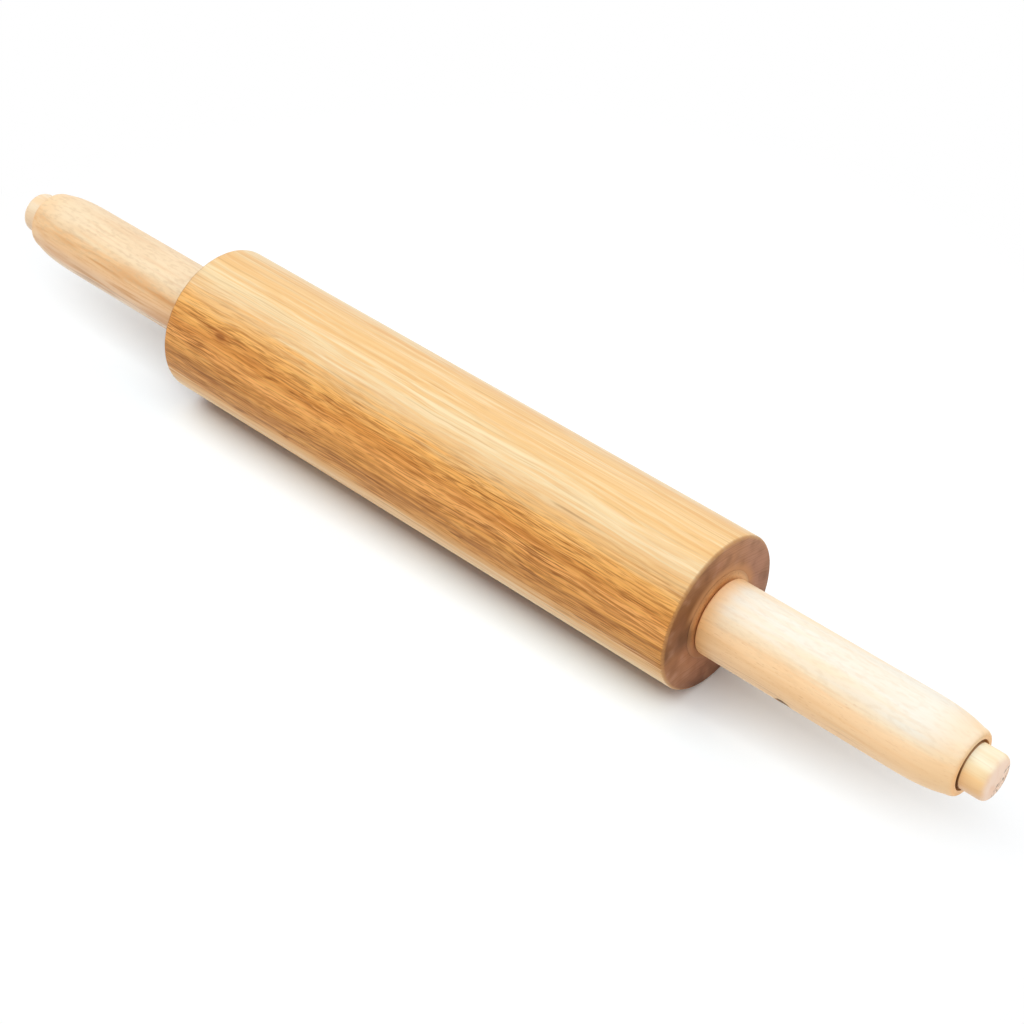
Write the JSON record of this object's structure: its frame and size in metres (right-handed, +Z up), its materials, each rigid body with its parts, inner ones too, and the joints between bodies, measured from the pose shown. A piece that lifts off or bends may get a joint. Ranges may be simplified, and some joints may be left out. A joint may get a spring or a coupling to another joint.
{
  "type": "rolling pin",
  "caption": "Wooden rolling pin: a bored hardwood barrel turns in flanged bushes on a through dowel axle with a pegged handle over each end.",
  "frame": {"origin": "on the table under the middle of the barrel", "axes": "+X along the pin towards the right handle, +Z up, +Y away from the front"},
  "size_m": [0.4752, 0.06, 0.06],
  "materials": {
    "barrel_wood": "honey-brown hardwood, fine long grain with dark pores, satin clear finish",
    "axle_wood": "pale dowel wood, bare, sawn end grain",
    "handle_wood": "pale cream wood, faint grain, smooth sanded with a light satin finish",
    "bush_wood": "turned brown wood, smooth",
    "peg_wood": "dark end grain"
  },
  "bodies": {
    "axle_and_handles": {"axle_dowel": "axle_wood", "handle_left": "handle_wood", "handle_right": "handle_wood", "handle_peg_left": "peg_wood", "handle_peg_right": "peg_wood"},
    "barrel": {"roller_barrel": "barrel_wood", "bearing_bush_left": "bush_wood", "bearing_bush_right": "bush_wood"}
  },
  "joints": [
    {"name": "barrel_spin", "type": "hinge", "parent": "axle_and_handles", "child": "barrel", "pos_m": [0, 0, 0.03], "axis": [1, 0, 0], "continuous": true}
  ]
}
